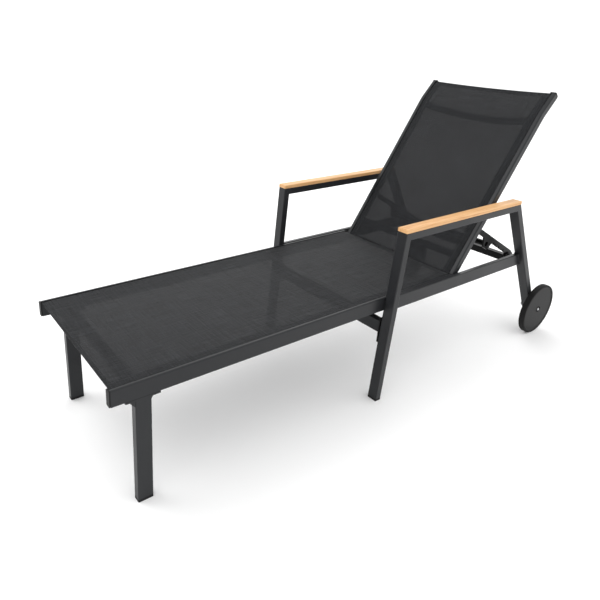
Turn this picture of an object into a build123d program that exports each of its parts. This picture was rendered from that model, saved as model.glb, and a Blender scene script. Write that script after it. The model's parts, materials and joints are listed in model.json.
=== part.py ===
from build123d import *
from math import asin, atan2, cos, degrees, radians, sin, sqrt
import os

# Reclining sun lounger: a bolted aluminium frame with a sling seat, a sling backrest that
# hinges on the seat frame, toothed prop arms that hold it, two arm frames with wooden
# slats, and two wheels at the head end. Millimetres, +Z up, +X from the feet to the head.
# The origin is on the floor, in the middle of the length and the width.
# Lengths named *_X count from the foot end of the seat rails; at_x() turns them to the frame.

os.makedirs("parts", exist_ok=True)

# ---- driving dimensions -------------------------------------------------------------
GAP = 0.3                   # air between pieces that touch but are not fixed together
RUN = 0.05                  # radial clearance of a pin that turns in its hole
WALL = 1.6                  # wall of the plain tubes
CORNER = 3.0                # outside corner radius of the plain tubes

RAIL_OUT = 263.5            # outer faces of the seat rails, from the middle
RAIL_THICK = 18.0
RAIL_TOP = 376.0
RAIL_HIGH = 46.0
SEAT_LONG = 1294.0
LIP = 9.0                   # width of the seat rail's raised outer lip
SLOT = 2.8                  # mouth of the sling channel
SHOULDER_DROP = 4.0         # how far the shoulder under the sling lies below the lip
CHANNEL_R = 3.6
CHANNEL_DOWN = 13.0         # channel centre below the lip
SPLINE_R = 2.7
SLING_THICK = 3.0
CAP_THICK = 4.0

LEG_X = 62.5                # front legs
LEG_LONG = 44.5
LEG_WIDE = 24.0
LEG_OUT = 262.2
PAD_THICK = 2.5             # black pad between flange and rail
FLANGE_LONG = 96.0
FLANGE_THICK = 5.0
GUSSET_LONG = 15.0          # gusset in front of the leg
GUSSET_HIGH = 18.0
FILLET_R = 9.0              # rounded weld behind the leg
LEG_BOLT_R = 2.5
FOOT_CAP = 9.0              # height of the plastic feet
PLUG_LONG = 14.0            # how far end plugs reach into their tubes

FOOT_BAR_X = 62.0
FOOT_BAR = 25.0
FOOT_BAR_DOWN = 18.0        # top of the foot bar below the rail's top
CORNER_PLATE = 36.0

ARM_IN = 263.7              # inner faces of the arm frames
ARM_WIDE = 35.5
ARM_DEEP = 25.0
ARM_TOP = 602.0
ARM_FRONT_X = 948.0         # outer corners of the arm frame, at its top
ARM_REAR_X = 1579.0
ARM_FOOT_X = 930.0          # front leg's leading edge on the floor
REAR_RAKE = 32.3            # the rear leg's lean from the vertical, degrees
AXLE_BACK = 3.0             # axle's centre behind the rear leg's own line
SLAT_THICK = 12.5
SLAT_GROOVE = 0.8

STRETCHER_WIDE = 16.0
STRETCHER_HIGH = 48.0

MID_BAR_HIGH = 43.0
MID_BAR_LOW = 247.0
PLATE_THICK = 4.0
PLATE_LOW = 213.0
PLATE_HIGH = 89.0

REAR_BAR_X = 1718.0
REAR_BAR_LONG = 28.0
REAR_BAR_HIGH = 27.0
REAR_BAR_TOP = 346.0

HINGE_X = 1318.0            # backrest hinge
HINGE_Z = 355.0
BACK_ANGLE = 57.5           # above the level, as built
FLAT_ANGLE = 2.0            # above the level, let right down
BACK_OUT = 254.0
BACK_WIDE = 22.0
BACK_LIP = 14.0
BACK_DEEP = 24.0
BACK_TAIL = 13.5            # rail below the hinge
BACK_LONG = 650.0           # hinge to bend
HEAD_LONG = 90.0            # bend to top
HEAD_BEND = 10.0
BEND_R = 150.0
BACK_SLING_START = -3.0     # the sling's lower edge, along the rails from the hinge
BACK_SPLINE_START = 7.0     # clear of the hinge bolt
LOW_BAR_S = 80.0
LOW_BAR_HIGH = 25.0
LOW_BAR_DEEP = 16.0
LOW_BAR_BEHIND = 6.0        # bar's centre behind the rails' own line
HEAD_BAR_S = 636.0
HEAD_BAR_R = 13.0
HEAD_BAR_BEHIND = 8.0       # its ends behind the rails' own line
HEAD_BAR_BOW = 60.0         # how far its middle bows behind its ends
HINGE_PIN_R = 4.0
PIVOT_DEEP = 2.8            # how far a prop pivot sits in the backrest rail

PROP_S = 204.0              # prop pivot, along the backrest from the hinge
PROP_OUT = 220.0
PROP_THICK = 6.0
PROP_ABOVE = 6.0            # the arm's edges above and below its pivot line
PROP_BELOW = 16.0
PROP_TAIL = 36.0            # the arm past its last notch
CATCH_R = 3.5
CATCH_UP = 6.0              # catch rod's centre above the rear crossbar
CATCH_BELOW = 12.0          # catch rod's centre below the pivot line
NOTCH_R = 4.0
SECTOR_FROM = 122.0         # deep part of the arm, which carries the tie rod
SECTOR_TO = 186.0
SECTOR_DEEP = 46.0
TIE_S = 157.0
TIE_BELOW = 29.0
TIE_R = 11.0
PROP_STOPS = 5              # positions of the backrest

WHEEL_R = 107.0
WHEEL_IN = 304.5
WHEEL_WIDE = 22.0
TYRE_DEEP = 8.0
AXLE_R = 6.0
HUB_R = 19.0
LEG_PAST_AXLE = 30.0

BOLT_R = 3.0                # bolts of the frame and of the tie plates
BOLT_HEAD_R = 5.3
SMALL_HEAD_R = 4.7
HEAD_THICK = 3.3
SCREW_R = 2.5               # screws of the armrests
SCREW_DEEP = 10.0           # how far they reach into the wood
SCREW_HEAD_R = 4.8
SCREW_HEAD = 2.6
HINGE_HEAD_R = 7.0
HINGE_HEAD = 4.5
BUSH_R = 9.0

SIDES = (("left", -1), ("right", 1))

# ---- geometry worked out from them --------------------------------------------------
RAIL_LOW = RAIL_TOP - RAIL_HIGH
RAIL_IN = RAIL_OUT - RAIL_THICK
ARM_MID = ARM_IN + ARM_WIDE / 2
ARM_OUT = ARM_IN + ARM_WIDE

rake = radians(REAR_RAKE)
rear_down = Vector(sin(rake), 0, -cos(rake))
rear_face = Vector(cos(rake), 0, sin(rake))
lean = atan2(ARM_FRONT_X - ARM_FOOT_X, ARM_TOP)
front_up = Vector(sin(lean), 0, cos(lean))
front_face = Vector(-cos(lean), 0, sin(lean))

axle_run = (ARM_TOP - ARM_DEEP / 2 * sin(rake) - WHEEL_R) / cos(rake)
AXLE_X = ARM_REAR_X - ARM_DEEP / 2 * cos(rake) + axle_run * sin(rake) + AXLE_BACK
FOOT_X = (CAP_THICK - AXLE_X - WHEEL_R) / 2


def at_x(x):
    """A place counted from the foot end, in the lounger's own frame."""
    return FOOT_X + x


theta = radians(BACK_ANGLE)
back_up = Vector(cos(theta), 0, sin(theta))
back_front = Vector(-sin(theta), 0, cos(theta))
hinge = Vector(at_x(HINGE_X), 0, HINGE_Z)
prop_pivot = hinge + back_up * PROP_S
catch = Vector(at_x(REAR_BAR_X) + CATCH_BELOW, 0, REAR_BAR_TOP + CATCH_UP)


def prop_reach(angle):
    """Length along the prop arm to the catch rod, with the backrest at this angle."""
    pivot = hinge + Vector(cos(radians(angle)), 0, sin(radians(angle))) * PROP_S
    return sqrt(((catch - pivot).length) ** 2 - CATCH_BELOW ** 2)


def prop_slope(angle):
    """Angle of the prop arm above the level, resting on the catch rod."""
    pivot = hinge + Vector(cos(radians(angle)), 0, sin(radians(angle))) * PROP_S
    line = catch - pivot
    return degrees(atan2(line.Z, line.X) + asin(CATCH_BELOW / line.length))


PROP_ANGLE = prop_slope(BACK_ANGLE)
REACH = prop_reach(BACK_ANGLE)
FLAT_TURN = BACK_ANGLE - FLAT_ANGLE
prop_turn = (prop_slope(FLAT_ANGLE) - FLAT_ANGLE) - (PROP_ANGLE - BACK_ANGLE)
print("frame foot end x", round(FOOT_X, 3), "axle x", round(at_x(AXLE_X), 3))
print("hinge", hinge, "prop pivot", prop_pivot, "catch", catch)
print("recline range", FLAT_TURN, "prop ratio", round(-prop_turn / FLAT_TURN, 4))


def save(builder, name):
    """Label a finished piece and write its STEP file."""
    builder.part.label = name
    export_step(builder.part, f"parts/{name}.step")


def tube_ring(wide, deep, corner=CORNER, wall=WALL):
    """Section of a rectangular tube with rounded corners, in the current sketch."""
    RectangleRounded(wide, deep, corner)
    RectangleRounded(wide - 2 * wall, deep - 2 * wall, corner - wall / 2, mode=Mode.SUBTRACT)


def cross_plane(x, y, z):
    """A plane that faces +Y, with +X to the right, at this place."""
    return Plane(origin=(x, y, z), x_dir=(1, 0, 0), z_dir=(0, -1, 0))


def cross_tube(x, z, half_span, long, high):
    """A rectangular tube across the lounger, centred at x, z."""
    with BuildSketch(cross_plane(x, half_span, z)) as section:
        tube_ring(long, high)
    extrude(section.sketch, amount=2 * half_span)


def y_pin(x, z, start, end, radius, hole=0.0):
    """A round pin or ring along Y, from start to end, added to the current part."""
    with BuildSketch(cross_plane(x, max(start, end), z)) as section:
        Circle(radius)
        if hole > 0:
            Circle(hole, mode=Mode.SUBTRACT)
    extrude(section.sketch, amount=abs(end - start))


def y_hole(x, z, start, end, radius):
    """A round hole along Y through the current part."""
    with BuildSketch(cross_plane(x, max(start, end), z)) as section:
        Circle(radius)
    extrude(section.sketch, amount=abs(end - start), mode=Mode.SUBTRACT)


def z_pin(x, y, low, high, radius):
    """A round pin along Z added to the current part."""
    with BuildSketch(Plane.XY.offset(low)) as section:
        with Locations((x, y)):
            Circle(radius)
    extrude(section.sketch, amount=high - low)


def trim(point, normal):
    """Cut away what lies past this plane."""
    split(bisect_by=Plane(origin=point, z_dir=normal), keep=Keep.BOTTOM)


def rail_section(sign, outer, wide, lip, low, top):
    """Sling rail: a lip on the outside, a round sling channel and a lower shoulder inside."""
    inner = outer - wide
    slot_out = outer - lip
    slot_in = slot_out - SLOT
    channel = top - CHANNEL_DOWN
    outline = (
        (sign * inner, low),
        (sign * outer, low),
        (sign * outer, top),
        (sign * slot_out, top),
        (sign * slot_out, channel),
        (sign * slot_in, channel),
        (sign * slot_in, top - SHOULDER_DROP),
        (sign * inner, top - SHOULDER_DROP),
    )
    face = Polygon(*outline, align=None)
    crown = face.vertices().sort_by_distance((sign * outer, top, 0))[0]
    fillet(crown, radius=4.0)
    with Locations((sign * (slot_out + slot_in) / 2, channel)):
        Circle(CHANNEL_R, mode=Mode.SUBTRACT)


def rail_cavity(sign, outer, wide, low, top):
    """The hollow below the sling channel."""
    room = top - CHANNEL_DOWN - CHANNEL_R - WALL - (low + WALL)
    if room > 4:
        with Locations((sign * (outer - wide / 2), low + WALL + room / 2)):
            Rectangle(wide - 2 * WALL, room, mode=Mode.SUBTRACT)


# ---- seat frame: side rails, foot bar, corner plates and caps -----------------------
rail_plane = Plane(origin=(FOOT_X, 0, 0), x_dir=(0, 1, 0), z_dir=(1, 0, 0))
slot_mid = RAIL_OUT - LIP - SLOT / 2
frame_bolts_x = (985.0, 1262.0)
frame_bolts_z = HINGE_Z - 12
stretcher_mid_z = RAIL_LOW + STRETCHER_HIGH / 2

for side, sign in SIDES:
    with BuildPart() as seat_rail:
        with BuildSketch(rail_plane):
            rail_section(sign, RAIL_OUT, RAIL_THICK, LIP, RAIL_LOW, RAIL_TOP)
            rail_cavity(sign, RAIL_OUT, RAIL_THICK, RAIL_LOW, RAIL_TOP)
        extrude(amount=SEAT_LONG)
        for bolt_x in frame_bolts_x:
            y_hole(at_x(bolt_x), frame_bolts_z, sign * RAIL_IN, sign * RAIL_OUT, BOLT_R)
    save(seat_rail, f"seat_rail_{side}")

    with BuildPart() as seat_spline:
        with BuildSketch(rail_plane.offset(10)):
            with Locations((sign * slot_mid, RAIL_TOP - CHANNEL_DOWN)):
                Circle(SPLINE_R)
        extrude(amount=SEAT_LONG - 20)
    save(seat_spline, f"seat_spline_{side}")

with BuildPart() as rail_foot_caps:
    for side, sign in SIDES:
        with BuildSketch(rail_plane):
            with Locations((sign * (RAIL_OUT - RAIL_THICK / 2), RAIL_TOP - RAIL_HIGH / 2)):
                RectangleRounded(RAIL_THICK, RAIL_HIGH, CORNER)
        extrude(amount=-CAP_THICK)
        with BuildSketch(rail_plane):
            with Locations((sign * (RAIL_OUT - RAIL_THICK / 2), RAIL_LOW + 13)):
                RectangleRounded(RAIL_THICK - 2 * WALL - 1, 18, 1)
        extrude(amount=PLUG_LONG)
save(rail_foot_caps, "rail_foot_caps")

with BuildPart() as rail_rear_caps:
    for side, sign in SIDES:
        with BuildSketch(rail_plane.offset(SEAT_LONG)):
            with Locations((sign * (RAIL_OUT - RAIL_THICK / 2), RAIL_TOP - RAIL_HIGH / 2)):
                RectangleRounded(RAIL_THICK, RAIL_HIGH, CORNER)
        extrude(amount=CAP_THICK - 1)
save(rail_rear_caps, "rail_rear_caps")

foot_bar_mid_x = at_x(FOOT_BAR_X + FOOT_BAR / 2)
foot_bar_top = RAIL_TOP - FOOT_BAR_DOWN
with BuildPart() as foot_crossbar:
    cross_tube(foot_bar_mid_x, foot_bar_top - FOOT_BAR / 2, RAIL_IN, FOOT_BAR, FOOT_BAR)
save(foot_crossbar, "foot_crossbar")

with BuildPart() as corner_plates:
    for side, sign in SIDES:
        corner_x = at_x(FOOT_BAR_X + FOOT_BAR)
        with BuildSketch(Plane.XY.offset(foot_bar_top - 5)):
            with BuildLine():
                Polyline(
                    (corner_x, sign * RAIL_IN),
                    (corner_x + CORNER_PLATE, sign * RAIL_IN),
                    (corner_x, sign * (RAIL_IN - CORNER_PLATE)),
                    close=True,
                )
            make_face()
        extrude(amount=3)
save(corner_plates, "corner_plates")

# ---- front legs: a tube welded under a flange, with curved gussets -------------------
leg_mid_x = at_x(LEG_X + LEG_LONG / 2)
leg_top = RAIL_LOW - PAD_THICK - FLANGE_THICK
leg_bolt_reach = FLANGE_LONG / 2 - 5

for side, sign in SIDES:
    leg_y = sign * (LEG_OUT - LEG_WIDE / 2)
    with BuildPart() as front_leg:
        with BuildSketch(Plane.XY.offset(FOOT_CAP)):
            with Locations((leg_mid_x, leg_y)):
                tube_ring(LEG_LONG, LEG_WIDE)
        extrude(amount=leg_top - FOOT_CAP)
        with BuildSketch(Plane.XY.offset(leg_top)):
            with Locations((leg_mid_x, leg_y)):
                RectangleRounded(FLANGE_LONG, LEG_WIDE, CORNER)
            for end in (-1, 1):
                with Locations((leg_mid_x + end * leg_bolt_reach, leg_y)):
                    Circle(LEG_BOLT_R, mode=Mode.SUBTRACT)
        extrude(amount=FLANGE_THICK)
        front_x = leg_mid_x - LEG_LONG / 2
        with BuildSketch(cross_plane(front_x, leg_y + LEG_WIDE / 2 - 1, leg_top)):
            with BuildLine():
                Polyline((0, 0), (-GUSSET_LONG, 0), (0, -GUSSET_HIGH), close=True)
            make_face()
        extrude(amount=LEG_WIDE - 2)
        rear_x = leg_mid_x + LEG_LONG / 2
        with BuildSketch(cross_plane(rear_x, leg_y + LEG_WIDE / 2 - 1, leg_top)):
            with Locations((FILLET_R / 2, -FILLET_R / 2)):
                Rectangle(FILLET_R, FILLET_R)
            with Locations((FILLET_R, -FILLET_R)):
                Circle(FILLET_R, mode=Mode.SUBTRACT)
        extrude(amount=LEG_WIDE - 2)
    save(front_leg, f"front_leg_{side}")

with BuildPart() as leg_pads:
    for side, sign in SIDES:
        leg_y = sign * (LEG_OUT - LEG_WIDE / 2)
        with BuildSketch(Plane.XY.offset(RAIL_LOW - PAD_THICK)):
            with Locations((leg_mid_x, leg_y)):
                RectangleRounded(FLANGE_LONG - 1, LEG_WIDE, CORNER)
            for end in (-1, 1):
                with Locations((leg_mid_x + end * leg_bolt_reach, leg_y)):
                    Circle(LEG_BOLT_R, mode=Mode.SUBTRACT)
        extrude(amount=PAD_THICK)
save(leg_pads, "leg_pads")

with BuildPart() as front_leg_feet:
    for side, sign in SIDES:
        leg_y = sign * (LEG_OUT - LEG_WIDE / 2)
        with BuildSketch(Plane.XY):
            with Locations((leg_mid_x, leg_y)):
                RectangleRounded(LEG_LONG, LEG_WIDE, CORNER)
        extrude(amount=FOOT_CAP)
        with BuildSketch(Plane.XY.offset(FOOT_CAP)):
            with Locations((leg_mid_x, leg_y)):
                RectangleRounded(LEG_LONG - 2 * WALL - 1, LEG_WIDE - 2 * WALL - 1, 1)
        extrude(amount=PLUG_LONG)
save(front_leg_feet, "front_leg_feet")

with BuildPart() as leg_bolts:
    for side, sign in SIDES:
        for end in (-1, 1):
            bolt_x = leg_mid_x + end * leg_bolt_reach
            leg_y = sign * (LEG_OUT - LEG_WIDE / 2)
            z_pin(bolt_x, leg_y, leg_top, RAIL_LOW, LEG_BOLT_R)
            z_pin(bolt_x, leg_y, leg_top - HEAD_THICK, leg_top, SMALL_HEAD_R)
save(leg_bolts, "leg_bolts")

# ---- arm frames: front leg, top tube and raked rear leg, mitred; stretcher; slat -----
front_corner = Vector(at_x(ARM_FRONT_X), 0, ARM_TOP)
rear_corner = Vector(at_x(ARM_REAR_X), 0, ARM_TOP)
top_along = Vector(1, 0, 0)
front_mitre = (front_up + top_along).normalized()
rear_mitre = (top_along + rear_down).normalized()
half = ARM_DEEP / 2
MARGIN = 40.0               # spare length that the mitre cuts away


def arm_tube(start, direction, length, sign):
    """A tube of the arm frame along a line in the frame's own plane."""
    middle = start + Vector(0, sign * ARM_MID, 0)
    with BuildSketch(Plane(origin=middle, x_dir=(0, 1, 0), z_dir=direction)) as section:
        tube_ring(ARM_WIDE, ARM_DEEP)
    extrude(section.sketch, amount=length)


front_axis_top = front_corner - front_face * half
front_axis_foot = front_axis_top - front_up * (front_axis_top.Z / front_up.Z)
rear_axis_top = rear_corner - rear_face * half
leg_at_axle = rear_axis_top + rear_down * ((rear_axis_top.Z - WHEEL_R) / -rear_down.Z)
axle = leg_at_axle + Vector(AXLE_BACK, 0, 0)
rear_end = leg_at_axle + rear_down * LEG_PAST_AXLE
rear_bar_mid_x = at_x(REAR_BAR_X + REAR_BAR_LONG / 2)
plate_bolts_z = (PLATE_LOW + 16, PLATE_LOW + PLATE_HIGH - 5.5)
slat_screws_x = (1020.0, 1510.0)

for side, sign in SIDES:
    with BuildPart() as arm_front_leg:
        arm_tube(front_axis_foot, front_up, front_axis_top.Z + MARGIN, sign)
        trim(front_corner, front_mitre)
        trim((0, 0, FOOT_CAP), (0, 0, -1))
    save(arm_front_leg, f"arm_front_leg_{side}")

    with BuildPart() as arm_top_tube:
        start = front_corner - Vector(MARGIN, 0, half)
        arm_tube(start, top_along, ARM_REAR_X - ARM_FRONT_X + 2 * MARGIN, sign)
        trim(front_corner, front_mitre * -1)
        trim(rear_corner, rear_mitre)
        for screw_x in slat_screws_x:
            with BuildSketch(Plane.XY.offset(ARM_TOP - ARM_DEEP)):
                with Locations((at_x(screw_x), sign * ARM_MID)):
                    Circle(SCREW_R)
            extrude(amount=ARM_DEEP, mode=Mode.SUBTRACT)
    save(arm_top_tube, f"arm_top_tube_{side}")

    with BuildPart() as arm_rear_leg:
        top = rear_axis_top - rear_down * MARGIN
        arm_tube(top, rear_down, (rear_end - top).length, sign)
        trim(rear_corner, rear_mitre * -1)
        y_hole(axle.X, axle.Z, sign * ARM_IN, sign * ARM_OUT, AXLE_R)
    save(arm_rear_leg, f"arm_rear_leg_{side}")

    with BuildPart() as stretcher:
        middle_y = sign * (ARM_IN + STRETCHER_WIDE / 2)
        start = Vector(at_x(ARM_FOOT_X), middle_y, stretcher_mid_z)
        with BuildSketch(Plane(origin=start, x_dir=(0, 1, 0), z_dir=(1, 0, 0))):
            tube_ring(STRETCHER_WIDE, STRETCHER_HIGH)
        extrude(amount=REAR_BAR_X - ARM_FOOT_X + MARGIN)
        trim(front_corner - front_face * ARM_DEEP, front_face)
        trim(rear_corner - rear_face * ARM_DEEP, rear_face)
        inner_wall = (sign * ARM_IN, sign * (ARM_IN + WALL + 1))
        y_hole(hinge.X, hinge.Z, inner_wall[0], inner_wall[1], HINGE_PIN_R)
        for bolt_x in frame_bolts_x:
            y_hole(at_x(bolt_x), frame_bolts_z, inner_wall[0], inner_wall[1], BOLT_R)
    save(stretcher, f"stretcher_{side}")

    with BuildPart() as armrest_slat:
        slat_long = ARM_REAR_X - ARM_FRONT_X
        slat_x = (front_corner.X + rear_corner.X) / 2
        with BuildSketch(Plane.XY.offset(ARM_TOP)):
            with Locations((slat_x, sign * ARM_MID)):
                Rectangle(slat_long, ARM_WIDE)
        extrude(amount=SLAT_THICK)
        fillet(armrest_slat.edges().group_by(Axis.Z)[-1], radius=3.0)
        groove_z = ARM_TOP + SLAT_THICK * 0.42
        with BuildSketch(Plane.XY.offset(groove_z)):
            with Locations((slat_x, sign * ARM_MID)):
                Rectangle(slat_long, ARM_WIDE)
                Rectangle(
                    slat_long - 2 * SLAT_GROOVE, ARM_WIDE - 2 * SLAT_GROOVE, mode=Mode.SUBTRACT
                )
        extrude(amount=1.2, mode=Mode.SUBTRACT)
        for screw_x in slat_screws_x:
            with BuildSketch(Plane.XY.offset(ARM_TOP)):
                with Locations((at_x(screw_x), sign * ARM_MID)):
                    Circle(SCREW_R)
            extrude(amount=SCREW_DEEP, mode=Mode.SUBTRACT)
    save(armrest_slat, f"armrest_slat_{side}")

with BuildPart() as armrest_screws:
    for side, sign in SIDES:
        for screw_x in slat_screws_x:
            low = ARM_TOP - ARM_DEEP
            z_pin(at_x(screw_x), sign * ARM_MID, low, ARM_TOP + SCREW_DEEP, SCREW_R)
            z_pin(at_x(screw_x), sign * ARM_MID, low - SCREW_HEAD, low, SCREW_HEAD_R)
save(armrest_screws, "armrest_screws")

with BuildPart() as arm_leg_feet:
    for side, sign in SIDES:
        foot_x = (front_axis_foot + front_up * (FOOT_CAP / front_up.Z)).X
        with BuildSketch(Plane.XY):
            with Locations((foot_x, sign * ARM_MID)):
                RectangleRounded(ARM_DEEP, ARM_WIDE, CORNER)
        extrude(amount=FOOT_CAP)
        with BuildSketch(Plane.XY.offset(FOOT_CAP)):
            with Locations((foot_x, sign * ARM_MID)):
                RectangleRounded(ARM_DEEP - 2 * WALL - 2, ARM_WIDE - 2 * WALL - 2, 1)
        extrude(amount=PLUG_LONG)
save(arm_leg_feet, "arm_leg_feet")

with BuildPart() as rear_leg_plugs:
    for side, sign in SIDES:
        end_plane = Plane(
            origin=rear_end + Vector(0, sign * ARM_MID, 0), x_dir=(0, 1, 0), z_dir=rear_down
        )
        with BuildSketch(end_plane):
            RectangleRounded(ARM_WIDE, ARM_DEEP, CORNER)
        extrude(amount=CAP_THICK)
        with BuildSketch(end_plane):
            RectangleRounded(ARM_WIDE - 2 * WALL - 1, ARM_DEEP - 2 * WALL - 1, 1)
        extrude(amount=-PLUG_LONG)
save(rear_leg_plugs, "rear_leg_plugs")

with BuildPart() as frame_bolts:
    for side, sign in SIDES:
        for bolt_x in frame_bolts_x:
            x = at_x(bolt_x)
            y_pin(x, frame_bolts_z, sign * RAIL_IN, sign * (ARM_IN + 8), BOLT_R)
            y_pin(x, frame_bolts_z, sign * (RAIL_IN - HEAD_THICK), sign * RAIL_IN, BOLT_HEAD_R)
save(frame_bolts, "frame_bolts")

# ---- ties between the two sides ------------------------------------------------------
tie_z = MID_BAR_LOW + MID_BAR_HIGH / 2
tie_x = (front_axis_foot + front_up * (tie_z / front_up.Z)).X
plate_in = ARM_IN - PLATE_THICK

with BuildPart() as mid_crossbar:
    cross_tube(tie_x, tie_z, plate_in, ARM_DEEP, MID_BAR_HIGH)
save(mid_crossbar, "mid_crossbar")

with BuildPart() as tie_plates:
    for side, sign in SIDES:
        high_y = max(sign * plate_in, sign * ARM_IN)
        with BuildSketch(cross_plane(tie_x, high_y, PLATE_LOW + PLATE_HIGH / 2)):
            RectangleRounded(ARM_DEEP + 6, PLATE_HIGH, CORNER)
        extrude(amount=PLATE_THICK)
        for bolt_z in plate_bolts_z:
            y_hole(tie_x, bolt_z, sign * plate_in, sign * ARM_IN, BOLT_R)
save(tie_plates, "tie_plates")

with BuildPart() as tie_bolts:
    for side, sign in SIDES:
        for bolt_z in plate_bolts_z:
            y_pin(tie_x, bolt_z, sign * plate_in, sign * ARM_IN, BOLT_R)
            y_pin(tie_x, bolt_z, sign * (plate_in - HEAD_THICK), sign * plate_in, SMALL_HEAD_R)
save(tie_bolts, "tie_bolts")

with BuildPart() as rear_crossbar:
    cross_tube(
        rear_bar_mid_x, REAR_BAR_TOP - REAR_BAR_HIGH / 2, ARM_IN, REAR_BAR_LONG, REAR_BAR_HIGH
    )
save(rear_crossbar, "rear_crossbar")

# ---- catch on the rear crossbar: a rod in two lugs on each side ----------------------
prop_mid = PROP_OUT - PROP_THICK / 2
LUG = 3.0
lug_reach = PROP_THICK / 2 + 4.5

with BuildPart() as catch_lugs:
    for side, sign in SIDES:
        for step in (-1, 1):
            lug_y = sign * prop_mid + step * lug_reach + LUG / 2
            with BuildSketch(cross_plane(catch.X, lug_y, REAR_BAR_TOP)):
                with Locations((0, CATCH_UP)):
                    Rectangle(20, 2 * CATCH_UP)
                    Circle(CATCH_R, mode=Mode.SUBTRACT)
            extrude(amount=LUG)
save(catch_lugs, "catch_lugs")

with BuildPart() as catch_rods:
    for side, sign in SIDES:
        reach = lug_reach + LUG
        y_pin(catch.X, catch.Z, sign * prop_mid - reach, sign * prop_mid + reach, CATCH_R)
save(catch_rods, "catch_rods")

# ---- hinge bolts and bushes ----------------------------------------------------------
with BuildPart() as hinge_bushes:
    for side, sign in SIDES:
        y_pin(
            hinge.X, hinge.Z, sign * (BACK_OUT + GAP), sign * ARM_IN, BUSH_R, HINGE_PIN_R + RUN
        )
save(hinge_bushes, "hinge_bushes")

with BuildPart() as hinge_bolts:
    for side, sign in SIDES:
        head = BACK_OUT - BACK_WIDE - GAP
        y_pin(hinge.X, hinge.Z, sign * head, sign * (ARM_IN + WALL + 1), HINGE_PIN_R)
        y_pin(hinge.X, hinge.Z, sign * (head - HINGE_HEAD), sign * head, HINGE_HEAD_R)
save(hinge_bolts, "hinge_bolts")

# ---- backrest: bent rails, two bars, caps --------------------------------------------
bend = hinge + back_up * BACK_LONG
head_up = Vector(cos(theta - radians(HEAD_BEND)), 0, sin(theta - radians(HEAD_BEND)))
back_top = bend + head_up * HEAD_LONG


def back_path(start_s):
    """The backrest's line in the XZ plane, from this distance along it to its top."""
    start = hinge + back_up * start_s
    FilletPolyline(
        (start.X, start.Z), (bend.X, bend.Z), (back_top.X, back_top.Z), radius=BEND_R
    )


def back_plane(along):
    """A section plane of the backrest: local x is +Y and local y points to its front."""
    return Plane(origin=hinge + back_up * along, x_dir=(0, 1, 0), z_dir=back_up)


back_slot_mid = BACK_OUT - BACK_LIP - SLOT / 2
back_top_half = BACK_DEEP / 2
back_in = BACK_OUT - BACK_WIDE

for side, sign in SIDES:
    with BuildPart() as backrest_rail:
        with BuildLine(Plane.XZ):
            back_path(-BACK_TAIL)
        with BuildSketch(back_plane(-BACK_TAIL)):
            rail_section(sign, BACK_OUT, BACK_WIDE, BACK_LIP, -back_top_half, back_top_half)
            rail_cavity(sign, BACK_OUT, BACK_WIDE, -back_top_half, back_top_half)
        sweep()
        y_hole(hinge.X, hinge.Z, sign * back_in, sign * BACK_OUT, HINGE_PIN_R + RUN)
        y_hole(
            prop_pivot.X, prop_pivot.Z, sign * back_in, sign * (back_in + PIVOT_DEEP), HINGE_PIN_R
        )
    save(backrest_rail, f"backrest_rail_{side}")

    with BuildPart() as back_spline:
        with BuildLine(Plane.XZ):
            back_path(BACK_SPLINE_START)
        with BuildSketch(back_plane(BACK_SPLINE_START)):
            with Locations((sign * back_slot_mid, back_top_half - CHANNEL_DOWN)):
                Circle(SPLINE_R)
        sweep()
    save(back_spline, f"back_spline_{side}")

with BuildPart() as back_top_caps:
    for side, sign in SIDES:
        top_plane = Plane(origin=back_top, x_dir=(0, 1, 0), z_dir=head_up)
        with BuildSketch(top_plane):
            with Locations((sign * (BACK_OUT - BACK_WIDE / 2), 0)):
                RectangleRounded(BACK_WIDE, BACK_DEEP, CORNER)
        extrude(amount=CAP_THICK)
save(back_top_caps, "back_top_caps")

with BuildPart() as back_low_caps:
    for side, sign in SIDES:
        with BuildSketch(back_plane(-BACK_TAIL)):
            with Locations((sign * (BACK_OUT - BACK_WIDE / 2), 0)):
                RectangleRounded(BACK_WIDE, BACK_DEEP, CORNER)
        extrude(amount=-2.5)
save(back_low_caps, "back_low_caps")

with BuildPart() as back_low_bar:
    bar_middle = hinge + back_up * LOW_BAR_S - back_front * LOW_BAR_BEHIND
    bar_origin = bar_middle + Vector(0, back_in, 0)
    with BuildSketch(Plane(origin=bar_origin, x_dir=back_up, z_dir=(0, -1, 0))):
        tube_ring(LOW_BAR_HIGH, LOW_BAR_DEEP)
    extrude(amount=2 * back_in)
save(back_low_bar, "back_low_bar")

with BuildPart() as headrest_bar:
    with BuildLine(back_plane(HEAD_BAR_S)) as bow:
        ends_y = back_in + MARGIN / 4
        ThreePointArc(
            (-ends_y, -HEAD_BAR_BEHIND), (0, -HEAD_BAR_BEHIND - HEAD_BAR_BOW), (ends_y, -HEAD_BAR_BEHIND)
        )
    with BuildSketch(Plane(origin=bow.line @ 0, z_dir=bow.line % 0)):
        Circle(HEAD_BAR_R)
        Circle(HEAD_BAR_R - WALL, mode=Mode.SUBTRACT)
    sweep()
    trim((0, back_in, 0), (0, 1, 0))
    trim((0, -back_in, 0), (0, -1, 0))
save(headrest_bar, "headrest_bar")

# ---- slings: plain closed sheets on the shoulders of the rails ------------------------
sling_half = slot_mid - SLOT / 2 - 1
with BuildPart() as seat_sling:
    sheet_low = RAIL_TOP - SHOULDER_DROP + GAP
    with BuildSketch(Plane.XY.offset(sheet_low)):
        with Locations((at_x(SEAT_LONG / 2), 0)):
            Rectangle(SEAT_LONG - 4, 2 * sling_half)
    extrude(amount=SLING_THICK)
save(seat_sling, "seat_sling")

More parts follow.
